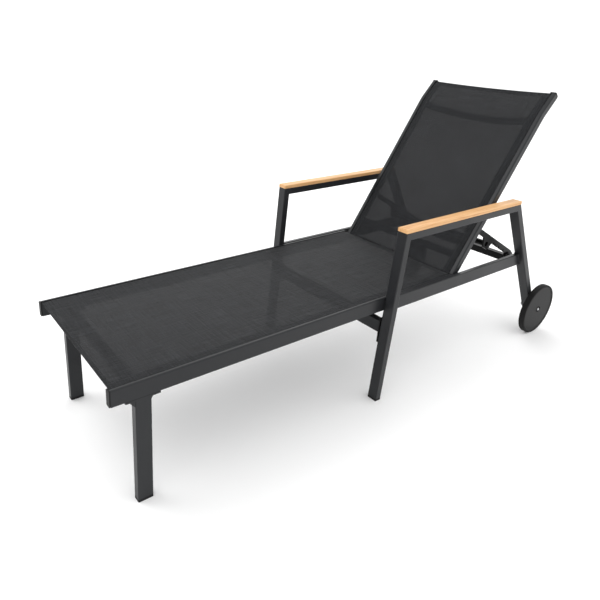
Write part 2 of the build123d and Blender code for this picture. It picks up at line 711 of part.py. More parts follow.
back_sling_half = back_slot_mid - SLOT / 2 - 1
with BuildPart() as back_sling:
    with BuildLine(Plane.XZ):
        back_path(BACK_SLING_START)
    with BuildSketch(back_plane(BACK_SLING_START)):
        with Locations((0, back_top_half - SHOULDER_DROP + GAP + SLING_THICK / 2)):
            Rectangle(2 * back_sling_half, SLING_THICK)
    sweep()
save(back_sling, "back_sling")

# ---- prop arms: notched plates that rest on the catch rods ----------------------------
alpha = radians(PROP_ANGLE)
prop_along = Vector(cos(alpha), 0, sin(alpha))
prop_up = Vector(-sin(alpha), 0, cos(alpha))
stops = [FLAT_ANGLE + FLAT_TURN * n / (PROP_STOPS - 1) for n in range(PROP_STOPS)]

for side, sign in SIDES:
    with BuildPart() as prop_arm:
        face_y = max(sign * PROP_OUT, sign * (PROP_OUT - PROP_THICK))
        plate = Plane(
            origin=prop_pivot + Vector(0, face_y, 0), x_dir=prop_along, z_dir=(0, -1, 0)
        )
        with BuildSketch(plate):
            with BuildLine():
                Polyline(
                    (0, PROP_ABOVE + 1),
                    (24, PROP_ABOVE),
                    (REACH + 10, PROP_ABOVE),
                    (REACH + PROP_TAIL, 0),
                    (REACH + PROP_TAIL, -PROP_BELOW / 2),
                    (REACH + 14, -PROP_BELOW / 2),
                    (REACH + 5, -PROP_BELOW + 2),
                    (REACH, -PROP_BELOW),
                    (SECTOR_TO + 6, -PROP_BELOW),
                    (SECTOR_TO, -SECTOR_DEEP + 8),
                    (SECTOR_TO - 8, -SECTOR_DEEP),
                    (SECTOR_FROM + 24, -SECTOR_DEEP),
                    (SECTOR_FROM, -PROP_BELOW + 2),
                    (24, -PROP_BELOW + 2),
                    (0, -PROP_ABOVE - 1),
                    close=True,
                )
            make_face()
            Circle(PROP_ABOVE + 1)
            Circle(HINGE_PIN_R + RUN, mode=Mode.SUBTRACT)
            for angle in stops:
                s = prop_reach(angle)
                with Locations((s, -CATCH_BELOW)):
                    Circle(NOTCH_R, mode=Mode.SUBTRACT)
                with BuildLine():
                    Polyline(
                        (s - NOTCH_R, -CATCH_BELOW),
                        (s - NOTCH_R, -PROP_BELOW - 8),
                        (s + NOTCH_R + 6, -PROP_BELOW - 8),
                        (s + NOTCH_R, -CATCH_BELOW),
                        close=True,
                    )
                make_face(mode=Mode.SUBTRACT)
            with Locations((TIE_S, -TIE_BELOW)):
                Circle(TIE_R, mode=Mode.SUBTRACT)
        extrude(amount=PROP_THICK)
    save(prop_arm, f"prop_arm_{side}")

tie = prop_pivot + prop_along * TIE_S - prop_up * TIE_BELOW
with BuildPart() as prop_tie_rod:
    y_pin(tie.X, tie.Z, -PROP_OUT, PROP_OUT, TIE_R, TIE_R - 1.5)
save(prop_tie_rod, "prop_tie_rod")

with BuildPart() as prop_pivots:
    for side, sign in SIDES:
        x, z = prop_pivot.X, prop_pivot.Z
        inner_face = PROP_OUT - PROP_THICK
        y_pin(x, z, sign * (inner_face - 5), sign * (inner_face - GAP), 7.0)
        y_pin(x, z, sign * (inner_face - GAP), sign * (PROP_OUT + GAP), HINGE_PIN_R)
        y_pin(x, z, sign * (PROP_OUT + GAP), sign * back_in, 8.0)
        y_pin(x, z, sign * back_in, sign * (back_in + PIVOT_DEEP), HINGE_PIN_R)
save(prop_pivots, "prop_pivots")

# ---- wheels, axles and their small parts ----------------------------------------------
HUB_RECESS = 3.0
FACE_SET = 1.5
PLATE = 3.5
RIM_DEEP = 10.0
BUSH_WALL = 2.0
rim_r = WHEEL_R - TYRE_DEEP
bush_r = AXLE_R + BUSH_WALL

for side, sign in SIDES:
    inn, out = sign * WHEEL_IN, sign * (WHEEL_IN + WHEEL_WIDE)
    spin_plane = Plane(origin=(axle.X, 0, axle.Z), x_dir=(1, 0, 0), z_dir=(0, 0, 1))
    spin_axis = Axis((axle.X, 0, axle.Z), (0, 1, 0))
    face = out - sign * FACE_SET
    back = face - sign * PLATE
    with BuildPart() as wheel_disc:
        with BuildSketch(spin_plane):
            with BuildLine():
                Polyline(
                    (bush_r, inn),
                    (HUB_R, inn),
                    (HUB_R, back),
                    (rim_r - RIM_DEEP, back),
                    (rim_r - RIM_DEEP, inn + sign * 1),
                    (rim_r, inn + sign * 1),
                    (rim_r, out - sign * 0.5),
                    (rim_r - 3, out - sign * 0.5),
                    (rim_r - 4, face),
                    (HUB_R - 5, face),
                    (HUB_R - 6, out),
                    (HUB_R - 8, out),
                    (HUB_R - 8, out - sign * HUB_RECESS),
                    (bush_r, out - sign * HUB_RECESS),
                    close=True,
                )
            make_face()
        revolve(axis=spin_axis)
    save(wheel_disc, f"wheel_disc_{side}")

    with BuildPart() as wheel_tyre:
        with BuildSketch(spin_plane):
            with Locations((rim_r + TYRE_DEEP / 2, (inn + out) / 2)):
                Rectangle(TYRE_DEEP, WHEEL_WIDE)
        revolve(axis=spin_axis)
        tread = wheel_tyre.edges().filter_by(GeomType.CIRCLE).group_by(SortBy.RADIUS)[-1]
        fillet(tread, radius=3.0)
    save(wheel_tyre, f"wheel_tyre_{side}")

    with BuildPart() as wheel_bush:
        y_pin(
            axle.X, axle.Z, inn, out - sign * HUB_RECESS, bush_r, AXLE_R + RUN
        )
    save(wheel_bush, f"wheel_bush_{side}")

axle_end = WHEEL_IN + WHEEL_WIDE - HUB_RECESS + GAP
NUT_THICK = 7.0
with BuildPart() as wheel_axles:
    for side, sign in SIDES:
        y_pin(axle.X, axle.Z, sign * (ARM_IN - NUT_THICK - 3), sign * axle_end, AXLE_R)
save(wheel_axles, "wheel_axles")

with BuildPart() as axle_nuts:
    for side, sign in SIDES:
        nut_y = (sign * (ARM_IN - NUT_THICK), sign * ARM_IN)
        with BuildSketch(cross_plane(axle.X, max(nut_y), axle.Z)):
            RegularPolygon(10.0, 6)
            Circle(AXLE_R, mode=Mode.SUBTRACT)
        extrude(amount=NUT_THICK)
save(axle_nuts, "axle_nuts")

with BuildPart() as axle_spacers:
    for side, sign in SIDES:
        y_pin(axle.X, axle.Z, sign * ARM_OUT, sign * (WHEEL_IN - GAP), 10.0, AXLE_R)
save(axle_spacers, "axle_spacers")

with BuildPart() as hub_caps:
    for side, sign in SIDES:
        cap_base = Plane(
            origin=(axle.X, sign * axle_end, axle.Z), x_dir=(1, 0, 0), z_dir=(0, sign, 0)
        )
        with BuildSketch(cap_base):
            Circle(AXLE_R)
        extrude(amount=HUB_RECESS - GAP, taper=25)
save(hub_caps, "hub_caps")
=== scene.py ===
import json
import math

import bmesh
import bpy
from mathutils import Matrix, Vector


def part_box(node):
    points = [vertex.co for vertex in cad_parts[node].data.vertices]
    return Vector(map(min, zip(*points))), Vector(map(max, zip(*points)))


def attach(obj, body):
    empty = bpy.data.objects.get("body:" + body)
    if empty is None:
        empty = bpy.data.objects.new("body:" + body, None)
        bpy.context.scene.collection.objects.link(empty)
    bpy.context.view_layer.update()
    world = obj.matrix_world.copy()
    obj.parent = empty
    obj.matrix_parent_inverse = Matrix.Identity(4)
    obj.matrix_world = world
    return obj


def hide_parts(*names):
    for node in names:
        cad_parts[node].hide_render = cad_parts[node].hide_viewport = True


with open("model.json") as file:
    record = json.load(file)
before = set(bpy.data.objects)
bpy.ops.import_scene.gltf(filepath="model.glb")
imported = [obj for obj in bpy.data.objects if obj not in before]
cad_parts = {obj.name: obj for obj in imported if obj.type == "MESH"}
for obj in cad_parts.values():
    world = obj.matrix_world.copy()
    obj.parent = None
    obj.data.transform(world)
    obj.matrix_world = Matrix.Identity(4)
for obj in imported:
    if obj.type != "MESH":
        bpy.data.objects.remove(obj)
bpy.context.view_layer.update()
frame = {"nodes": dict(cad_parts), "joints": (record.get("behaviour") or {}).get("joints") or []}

bpy.ops.object.select_all(action="DESELECT")

# The studio: a wide pale floor under an even white sky, one soft lamp high on the far side of
# the foot end, which gleams on the backrest rails, and a broad one behind the head end.
FLOOR_SIZE = 60.0
FLOOR_WHITE = "#fefefe"
PAPER_GRAIN = 0.0025
SKY = 1.27
LAMP_OVER_FOOT = (-2.1, 1.7, 3.1)
LAMP_BEHIND_HEAD = (3.2, 3.4, 2.6)
CAMERA_AT = (-1.3845, -1.2528, 1.1546)
CAMERA_YAW = 34.29
CAMERA_PITCH = 22.3
CAMERA_ROLL = 1.8
LENS = 32.832           # millimetres, on a sensor this wide
SENSOR = 36.0
SHIFT = (0.14, -0.0782)
CLIP_END = 200


def hex_colour(code):
    """An sRGB hex colour as the linear RGBA that a shader socket takes."""
    channels = [int(code[i:i + 2], 16) / 255 for i in (1, 3, 5)]
    return [c / 12.92 if c <= 0.04045 else ((c + 0.055) / 1.055) ** 2.4 for c in channels] + [1.0]


def add_node(material, kind, inputs=None, **settings):
    """Adds a shader node. inputs maps sockets to values, or to the sockets that feed them."""
    made = material.node_tree.nodes.new(kind)
    for key, value in settings.items():
        setattr(made, key, value)
    for key, value in (inputs or {}).items():
        if isinstance(value, bpy.types.NodeSocket):
            material.node_tree.links.new(value, made.inputs[key])
        else:
            made.inputs[key].default_value = value
    return made


def new_material(name):
    """An empty material with its output node."""
    material = bpy.data.materials.new(name)
    material.use_nodes = True
    material.node_tree.nodes.clear()
    output = material.node_tree.nodes.new("ShaderNodeOutputMaterial")
    return material, output


def finish_material(material, output, shader):
    """Feeds the shader to the material's surface."""
    material.node_tree.links.new(shader.outputs[0], output.inputs["Surface"])
    return material


def studio_floor():
    """Matt white studio paper."""
    material, output = new_material("studio_paper")
    where = add_node(material, "ShaderNodeTexCoord")
    grain = add_node(
        material, "ShaderNodeTexNoise",
        {"Vector": where.outputs["Object"], "Scale": 1 / PAPER_GRAIN},
    )
    bump = add_node(
        material, "ShaderNodeBump", {"Height": grain.outputs["Fac"], "Strength": 0.02}
    )
    shader = add_node(
        material, "ShaderNodeBsdfPrincipled",
        {
            "Base Color": hex_colour(FLOOR_WHITE), "Roughness": 0.9,
            "Normal": bump.outputs["Normal"],
        },
    )
    return finish_material(material, output, shader)


bpy.ops.mesh.primitive_plane_add(size=FLOOR_SIZE, location=(0, 0, 0))
floor = bpy.context.object
floor.name = "studio_floor"
floor.data.materials.append(studio_floor())

sky = bpy.data.worlds.new("white_sky")
sky.use_nodes = True
sky.node_tree.nodes["Background"].inputs["Color"].default_value = (1, 1, 1, 1)
sky.node_tree.nodes["Background"].inputs["Strength"].default_value = SKY
bpy.context.scene.world = sky
bpy.context.scene.view_settings.view_transform = "Standard"


def soft_lamp(name, at, towards, size, power):
    """A soft lamp of this width and height that faces a point."""
    bpy.ops.object.light_add(type="AREA", location=at)
    lamp = bpy.context.object
    lamp.name = name
    lamp.data.shape = "RECTANGLE"
    lamp.data.size = size[0]
    lamp.data.size_y = size[1]
    lamp.data.energy = power
    lamp.rotation_euler = (Vector(towards) - Vector(at)).to_track_quat("-Z", "Y").to_euler()
    return lamp


soft_lamp("front_lamp", LAMP_OVER_FOOT, towards=(0.2, 0, 0.5), size=(2.0, 2.0), power=32)
soft_lamp("back_lamp", LAMP_BEHIND_HEAD, towards=(0.0, 0, 0.4), size=(5.0, 2.0), power=36)

bpy.ops.object.camera_add(location=CAMERA_AT)
camera = bpy.context.object
camera.name = "studio_camera"
turn = Matrix.Rotation(-math.radians(CAMERA_YAW), 4, "Z")
tilt = Matrix.Rotation(math.radians(90 - CAMERA_PITCH), 4, "X")
roll = Matrix.Rotation(math.radians(CAMERA_ROLL), 4, "Z")
camera.matrix_world = Matrix.Translation(CAMERA_AT) @ turn @ tilt @ roll
camera.data.sensor_width = SENSOR
camera.data.lens = LENS
camera.data.shift_x, camera.data.shift_y = SHIFT
camera.data.clip_end = CLIP_END
camera.data.dof.use_dof = False
bpy.context.scene.camera = camera

# The frame: aluminium tubes and extrusions, welded and then powder coated in graphite. The
# coat is a plastic film with a fine orange-peel skin, a little uneven in shade and gloss.
COAT = ("#1e1f21", "#262729")
COAT_SHINE = 0.25
COAT_ROUGH = (0.3, 0.42)
PEEL_SIZE = 0.0016
CLOUD_SIZE = 0.12


def powder_coat():
    """Graphite powder coat on aluminium."""
    material, output = new_material("graphite_powder_coat")
    where = add_node(material, "ShaderNodeTexCoord")
    cloud = add_node(
        material, "ShaderNodeTexNoise",
        {"Vector": where.outputs["Object"], "Scale": 1 / CLOUD_SIZE, "Detail": 4.0},
    )
    peel = add_node(
        material, "ShaderNodeTexNoise",
        {"Vector": where.outputs["Object"], "Scale": 1 / PEEL_SIZE, "Detail": 2.0},
    )
    shade = add_node(
        material, "ShaderNodeMix",
        {"Factor": cloud.outputs["Fac"], "A": hex_colour(COAT[0]), "B": hex_colour(COAT[1])},
        data_type="RGBA",
    )
    gloss = add_node(
        material, "ShaderNodeMapRange",
        {
            "Value": cloud.outputs["Fac"], "From Min": 0.3, "From Max": 0.7,
            "To Min": COAT_ROUGH[0], "To Max": COAT_ROUGH[1],
        },
    )
    bump = add_node(
        material, "ShaderNodeBump",
        {"Height": peel.outputs["Fac"], "Strength": 0.25, "Distance": 0.0002},
    )
    shader = add_node(
        material, "ShaderNodeBsdfPrincipled",
        {
            "Base Color": shade.outputs["Result"], "Roughness": gloss.outputs["Result"],
            "IOR": 1.5, "Specular IOR Level": COAT_SHINE, "Normal": bump.outputs["Normal"],
        },
    )
    return finish_material(material, output, shader)


def coat(names, material):
    """Gives CAD nodes whose names start with one of these words their material."""
    for name, item in frame["nodes"].items():
        if name.startswith(names):
            item.data.materials.clear()
            item.data.materials.append(material)


graphite = powder_coat()
coat(
    (
        "seat_rail", "foot_crossbar", "corner_plates", "front_leg", "arm_front_leg",
        "arm_top_tube", "arm_rear_leg", "stretcher", "mid_crossbar", "backrest_rail",
        "back_low_bar", "headrest_bar",
    ),
    graphite,
)

# Feet, plugs, rail caps, splines and bushes: small black polyamide mouldings. The mould
# leaves a fine spark-eroded grain that kills the gloss.
MOULDED = ("#0f0f10", "#171718")
MOULDED_ROUGH = 0.55
MOULDED_SHINE = 0.16
GRAIN_SIZE = 0.0008


def moulded_plastic(name, colours, roughness, grain_size):
    """Moulded plastic with an eroded grain."""
    material, output = new_material(name)
    where = add_node(material, "ShaderNodeTexCoord")
    grain = add_node(
        material, "ShaderNodeTexNoise",
        {"Vector": where.outputs["Object"], "Scale": 1 / grain_size, "Detail": 3.0},
    )
    shade = add_node(
        material, "ShaderNodeMix",
        {"Factor": grain.outputs["Fac"], "A": hex_colour(colours[0]), "B": hex_colour(colours[1])},
        data_type="RGBA",
    )
    bump = add_node(
        material, "ShaderNodeBump",
        {"Height": grain.outputs["Fac"], "Strength": 0.3, "Distance": 0.0002},
    )
    shader = add_node(
        material, "ShaderNodeBsdfPrincipled",
        {
            "Base Color": shade.outputs["Result"], "Roughness": roughness, "IOR": 1.53,
            "Specular IOR Level": MOULDED_SHINE, "Normal": bump.outputs["Normal"],
        },
    )
    return finish_material(material, output, shader)


polyamide = moulded_plastic("black_polyamide", MOULDED, MOULDED_ROUGH, GRAIN_SIZE)
coat(
    (
        "rail_foot_caps", "rail_rear_caps", "front_leg_feet", "arm_leg_feet", "rear_leg_plugs",
        "back_top_caps", "back_low_caps", "seat_spline", "back_spline", "wheel_bush",
        # leg_pads: thin black pads under the leg flanges, painted shade that stands in for the
        # shadowed gap between each flange and its rail
        "hinge_bushes", "axle_spacers", "leg_pads",
    ),
    polyamide,
)

# Prop arms, tie rod, catches, rear crossbar and tie plates: steel with a black dip coat,
# smoother than the frame's.
BLACK_COAT = ("#090909", "#101011")
DIP_SHINE = 0.12
DIP_ROUGH = (0.3, 0.45)
DIP_CLOUD = 0.0167


def black_steel():
    """Black dip-coated steel."""
    material, output = new_material("black_coated_steel")
    where = add_node(material, "ShaderNodeTexCoord")
    cloud = add_node(
        material, "ShaderNodeTexNoise",
        {"Vector": where.outputs["Object"], "Scale": 1 / DIP_CLOUD, "Detail": 5.0},
    )
    shade = add_node(
        material, "ShaderNodeMix",
        {
            "Factor": cloud.outputs["Fac"],
            "A": hex_colour(BLACK_COAT[0]), "B": hex_colour(BLACK_COAT[1]),
        },
        data_type="RGBA",
    )
    gloss = add_node(
        material, "ShaderNodeMapRange",
        {
            "Value": cloud.outputs["Fac"], "From Min": 0.3, "From Max": 0.7,
            "To Min": DIP_ROUGH[0], "To Max": DIP_ROUGH[1],
        },
    )
    bump = add_node(
        material, "ShaderNodeBump",
        {"Height": cloud.outputs["Fac"], "Strength": 0.1, "Distance": 0.0005},
    )
    shader = add_node(
        material, "ShaderNodeBsdfPrincipled",
        {
            "Base Color": shade.outputs["Result"], "Roughness": gloss.outputs["Result"],
            "IOR": 1.5, "Specular IOR Level": DIP_SHINE, "Normal": bump.outputs["Normal"],
        },
    )
    return finish_material(material, output, shader)


dark_steel = black_steel()
coat(("prop_", "catch_", "tie_plates", "rear_crossbar"), dark_steel)

# Bolts, screws, axles, nuts and hub caps: turned steel with a bright zinc plate, a little
# cloudy in colour and gloss.
ZINC = ("#a9abad", "#c6c8ca")
ZINC_ROUGH = (0.25, 0.4)
ZINC_CLOUD = 0.00333


def zinc_plate():
    """Bright zinc plate on turned steel."""
    material, output = new_material("zinc_plated_steel")
    where = add_node(material, "ShaderNodeTexCoord")
    cloud = add_node(
        material, "ShaderNodeTexNoise",
        {"Vector": where.outputs["Object"], "Scale": 1 / ZINC_CLOUD, "Detail": 3.0},
    )
    shade = add_node(
        material, "ShaderNodeMix",
        {"Factor": cloud.outputs["Fac"], "A": hex_colour(ZINC[0]), "B": hex_colour(ZINC[1])},
        data_type="RGBA",
    )
    gloss = add_node(
        material, "ShaderNodeMapRange",
        {
            "Value": cloud.outputs["Fac"], "From Min": 0.3, "From Max": 0.7,
            "To Min": ZINC_ROUGH[0], "To Max": ZINC_ROUGH[1],
        },
    )
    shader = add_node(
        material, "ShaderNodeBsdfPrincipled",
        {
            "Base Color": shade.outputs["Result"], "Metallic": 1.0,
            "Roughness": gloss.outputs["Result"],
        },
    )
    return finish_material(material, output, shader)


zinc = zinc_plate()
coat(
    (
        "leg_bolts", "frame_bolts", "tie_bolts", "armrest_screws", "hinge_bolts", "wheel_axles",
        "axle_nuts", "hub_caps",
    ),
    zinc,
)

# Armrest slats: solid teak, planed, with eased edges and an oil finish. Long straight grain
# runs along the arm, darker late-wood lines a few millimetres apart and short open pores.
TEAK = ("#cb965d", "#e7bd8a")
LATE_WOOD = "#bd824b"
TEAK_ROUGH = (0.42, 0.58)
BROAD_GRAIN = 0.0143
GRAIN_LINE = 0.0045
GRAIN_STRETCH = 0.035
PORE = 0.0012


def oiled_teak():
    """Planed and oiled teak with its grain along X."""
    material, output = new_material("oiled_teak")
    where = add_node(material, "ShaderNodeTexCoord")
    along = add_node(
        material, "ShaderNodeMapping",
        {"Vector": where.outputs["Object"], "Scale": (GRAIN_STRETCH, 1, 1)},
    )
    broad = add_node(
        material, "ShaderNodeTexNoise",
        {
            "Vector": along.outputs["Vector"], "Scale": 1 / BROAD_GRAIN, "Detail": 6.0,
            "Distortion": 0.6,
        },
    )
    lines = add_node(
        material, "ShaderNodeTexNoise",
        {
            "Vector": along.outputs["Vector"], "Scale": 1 / GRAIN_LINE, "Detail": 8.0,
            "Roughness": 0.65,
        },
    )
    pores = add_node(
        material, "ShaderNodeTexNoise",
        {"Vector": along.outputs["Vector"], "Scale": 1 / PORE, "Detail": 2.0},
    )
    body = add_node(
        material, "ShaderNodeMix",
        {"Factor": broad.outputs["Fac"], "A": hex_colour(TEAK[0]), "B": hex_colour(TEAK[1])},
        data_type="RGBA",
    )
    late = add_node(
        material, "ShaderNodeMapRange",
        {"Value": lines.outputs["Fac"], "From Min": 0.5, "From Max": 0.66, "To Max": 0.75},
    )
    streaked = add_node(
        material, "ShaderNodeMix",
        {
            "Factor": late.outputs["Result"], "A": body.outputs["Result"],
            "B": hex_colour(LATE_WOOD),
        },
        data_type="RGBA",
    )
    gloss = add_node(
        material, "ShaderNodeMapRange",
        {
            "Value": lines.outputs["Fac"], "From Min": 0.3, "From Max": 0.7,
            "To Min": TEAK_ROUGH[0], "To Max": TEAK_ROUGH[1],
        },
    )
    bump = add_node(
        material, "ShaderNodeBump",
        {"Height": pores.outputs["Fac"], "Strength": 0.25, "Distance": 0.0003},
    )
    shader = add_node(
        material, "ShaderNodeBsdfPrincipled",
        {
            "Base Color": streaked.outputs["Result"], "Roughness": gloss.outputs["Result"],
            "IOR": 1.48, "Normal": bump.outputs["Normal"],
        },
    )
    return finish_material(material, output, shader)


coat(("armrest_slat",), oiled_teak())

# Wheels: a flat disc moulded in near-black polypropylene, and a soft rubber tyre pressed
# over it. Both are matt, the tyre more so, and with a coarser grain.
DISC = ("#111111", "#181818")
DISC_ROUGH = 0.5
DISC_GRAIN = 0.0012
RUBBER = ("#111111", "#191919")
RUBBER_ROUGH = 0.7
RUBBER_GRAIN = 0.002
coat(("wheel_disc",), moulded_plastic("grey_polypropylene", DISC, DISC_ROUGH, DISC_GRAIN))
coat(("wheel_tyre",), moulded_plastic("black_rubber", RUBBER, RUBBER_ROUGH, RUBBER_GRAIN))

# The slings: PVC-coated polyester mesh, two stretched sheets. Each is held by its side
# hems, which fold round a spline in the rails' channels. A little light comes through
# between the threads, none through the doubled hems.
SLING_CLOTH = 0.001
HEM_CLOTH = 0.0009
THREAD = 0.0024
WAVE = math.tau / 20    # scale at which a wave texture repeats once a metre
CLOTH = ("#101113", "#19191b")
CLOTH_STREAK = "#26282b"
CLOTH_COVER = 0.895
CLOTH_SHINE = 0.25
SHEEN = 0.04
SLUB = 0.04             # width over length of the uneven shade along a thread
SIDE_HEM = 0.026
END_HEM = 0.011
HEM_INSET = 0.0016      # a side hem's outer edge, from the slot
HEM_CLEAR = 0.002       # side hem to end hem
HEM_GAP = 0.0001        # side hem to the cloth above it
FOLD = 0.0011           # radius of an end hem's fold
UNDER_STEPS = 4
FOLD_STEPS = 6
SHOULDER = 0.004
CLOTH_LIFT = 0.0016
SLOT_EDGE = 0.0004
SLOT_FLAT = 0.0035      # where the cloth stops being flat, from the slot
SLOT_TURN = (           # (y from the slot, depth) where it turns down into the slot
    (-0.0022, 0.0), (-0.0010, 0.00025), (-0.0004, 0.0008), (0.0, 0.0018), (0.0, 0.0050),
)
ACROSS = 33
HEM_ACROSS = 7
CREASE = math.radians(40)
STITCH_PITCH = 0.0044
STITCH_LONG = 0.0032
STITCH_WIDE = 0.0007
STITCH_HIGH = 0.0004
SIDE_SEAMS = (0.003, 0.006)    # from the side hem's inner edge
END_SEAM = 0.003               # from the end hem's inner edge
SEAM_STOP = 0.004              # from the sling's edge
THREAD_DYE = ("#1e1f21", "#35373a")
THREAD_TWIST = 0.00067


def mesh_cloth(name, cover):
    """Coated polyester mesh; the thread spacing is drawn about twice its real size to show."""
    material, output = new_material(name)
    where = add_node(material, "ShaderNodeTexCoord")
    warp = add_node(
        material, "ShaderNodeTexWave",
        {"Vector": where.outputs["UV"], "Scale": WAVE / THREAD, "Distortion": 0.4, "Detail": 0.0},
        bands_direction="X",
    )
    weft = add_node(
        material, "ShaderNodeTexWave",
        {"Vector": where.outputs["UV"], "Scale": WAVE / THREAD, "Distortion": 0.4, "Detail": 0.0},
        bands_direction="Y",
    )
    weave = add_node(
        material, "ShaderNodeMath",
        {0: warp.outputs["Fac"], 1: weft.outputs["Fac"]}, operation="MULTIPLY",
    )
    warp_run = add_node(
        material, "ShaderNodeMapping", {"Vector": where.outputs["UV"], "Scale": (1, SLUB, 1)}
    )
    weft_run = add_node(
        material, "ShaderNodeMapping", {"Vector": where.outputs["UV"], "Scale": (SLUB, 1, 1)}
    )
    warp_shade = add_node(
        material, "ShaderNodeTexNoise",
        {"Vector": warp_run.outputs["Vector"], "Scale": 0.5 / THREAD, "Detail": 3.0},
    )
    weft_shade = add_node(
        material, "ShaderNodeTexNoise",
        {"Vector": weft_run.outputs["Vector"], "Scale": 0.5 / THREAD, "Detail": 3.0},
    )
    streaks = add_node(
        material, "ShaderNodeMath",
        {0: warp_shade.outputs["Fac"], 1: weft_shade.outputs["Fac"]}, operation="MULTIPLY",
    )
    streak = add_node(
        material, "ShaderNodeMapRange",
        {"Value": streaks.outputs["Value"], "From Min": 0.15, "From Max": 0.4, "To Max": 0.8},
    )
    body = add_node(
        material, "ShaderNodeMix",
        {"Factor": weave.outputs["Value"], "A": hex_colour(CLOTH[0]), "B": hex_colour(CLOTH[1])},
        data_type="RGBA",
    )
    shade = add_node(
        material, "ShaderNodeMix",
        {
            "Factor": streak.outputs["Result"], "A": body.outputs["Result"],
            "B": hex_colour(CLOTH_STREAK),
        },
        data_type="RGBA",
    )
    bump = add_node(
        material, "ShaderNodeBump",
        {"Height": weave.outputs["Value"], "Strength": 0.5, "Distance": 0.0004},
    )
    shader = add_node(
        material, "ShaderNodeBsdfPrincipled",
        {
            "Base Color": shade.outputs["Result"], "Roughness": 0.75, "IOR": 1.45,
            "Specular IOR Level": CLOTH_SHINE, "Alpha": cover, "Normal": bump.outputs["Normal"],
            "Sheen Weight": SHEEN, "Sheen Roughness": 0.5,
        },
    )
    return finish_material(material, output, shader)


open_mesh = mesh_cloth("sling_mesh", CLOTH_COVER)
hem_mesh = mesh_cloth("sling_mesh_doubled", 1.0)


def new_piece(name, data):
    """Links an object with this data to the scene and selects it alone."""
    piece = bpy.data.objects.new(name, data)
    bpy.context.collection.objects.link(piece)
    bpy.ops.object.select_all(action="DESELECT")
    bpy.context.view_layer.objects.active = piece
    piece.select_set(True)
    return piece


def cloth_strip(name, curve, stations, profile, sag, thickness, material):
    """A woven strip on a curve in the XZ plane.

    stations are (distance along the curve, depth below it) and profile is (y, depth), both
    in order. The depth at mid width grows by sag(distance).
    """
    half = max(abs(y) for y, depth in profile)
    mesh = bmesh.new()
    layer = mesh.loops.layers.uv.new("UVMap")
    rows = []
    along = 0.0
    last = None
    for distance, down in stations:
        point, normal = curve(distance)
        row = []
        across = 0.0
        previous = None
        for y, depth in profile:
            drop = down + depth + sag(distance) * (1 - (y / half) ** 2)
            place = point - normal * drop + Vector((0, y, 0))
            if previous is not None:
                across += (place - previous).length
            previous = place
            row.append((mesh.verts.new(place), across))
        middle = row[len(row) // 2][0].co
        if last is not None:
            along += (middle - last).length
        last = middle
        rows.append((row, along))
    for (low, v0), (high, v1) in zip(rows, rows[1:]):
        for left, right in zip(range(len(low) - 1), range(1, len(low))):
            corners = (
                (low[left], v0), (low[right], v0), (high[right], v1), (high[left], v1)
            )
            face = mesh.faces.new([vert for (vert, u), v in corners])
            for loop, ((vert, u), v) in zip(face.loops, corners):
                loop[layer].uv = (u, v)
    flat = (rows[0][0][-1][1], along)
    data = bpy.data.meshes.new(name)
    mesh.to_mesh(data)
    mesh.free()
    piece = new_piece(name, data)
    solid = piece.modifiers.new("thickness", "SOLIDIFY")
    solid.thickness = thickness
    solid.offset = 0
    bpy.ops.object.modifier_apply(modifier=solid.name)
    bpy.ops.object.shade_smooth_by_angle(angle=CREASE)
    piece.data.materials.append(material)
    return piece, flat


def spread(start, end, count):
    """count evenly spaced values from start to end."""
    return [start + (end - start) * n / (count - 1) for n in range(count)]


def fold_in(end, inwards, hem):
    """Stations of a hem that turns under at one end, from its inner edge to the fold."""
    turned = []
    for n in range(UNDER_STEPS + 1):
        turned.append((end + inwards * hem * (1 - n / UNDER_STEPS), 2 * FOLD))
    for n in range(1, FOLD_STEPS):
        angle = math.pi * n / FOLD_STEPS
        turned.append((end - inwards * FOLD * math.sin(angle), FOLD + FOLD * math.cos(angle)))
    return turned


def sling_profile(slot):
    """Across a sling: flat over the seat, then down into the slot at each side."""
    side = [(slot + y, depth) for y, depth in SLOT_TURN]
    middle = spread(-(slot - SLOT_FLAT), slot - SLOT_FLAT, ACROSS)
    left = [(-y, depth) for y, depth in reversed(side)]
    return left + [(y, 0.0) for y in middle] + side


def stitches(name, curve, sag, half, lines, material, lift):
    """Lock stitches along lines ((from distance, from y), (to distance, to y)) on a sling."""
    mesh = bmesh.new()
    for (d0, y0), (d1, y1) in lines:
        total = math.hypot(d1 - d0, y1 - y0)
        for n in range(int(total / STITCH_PITCH)):
            centre = (n + 0.5) * STITCH_PITCH
            places = []
            for t in (centre - STITCH_LONG / 2, centre + STITCH_LONG / 2):
                d = d0 + (d1 - d0) * t / total
                y = y0 + (y1 - y0) * t / total
                point, normal = curve(d)
                drop = sag(d) * (1 - (y / half) ** 2) - lift
                places.append((point - normal * drop + Vector((0, y, 0)), normal))
            a, normal = places[0]
            b = places[1][0]
            side = normal.cross(b - a).normalized() * STITCH_WIDE / 2
            top = normal * STITCH_HIGH
            middle = (a + b) / 2
            ring = [mesh.verts.new(v) for v in (a, middle - side, b, middle + side)]
            crown = mesh.verts.new(middle + top)
            base = mesh.verts.new(middle - top)
            for first, second in zip(ring, ring[1:] + ring[:1]):
                mesh.faces.new((first, second, crown))
                mesh.faces.new((second, first, base))
    data = bpy.data.meshes.new(name)
    mesh.to_mesh(data)
    mesh.free()
    piece = new_piece(name, data)
    piece.data.materials.append(material)
    return piece


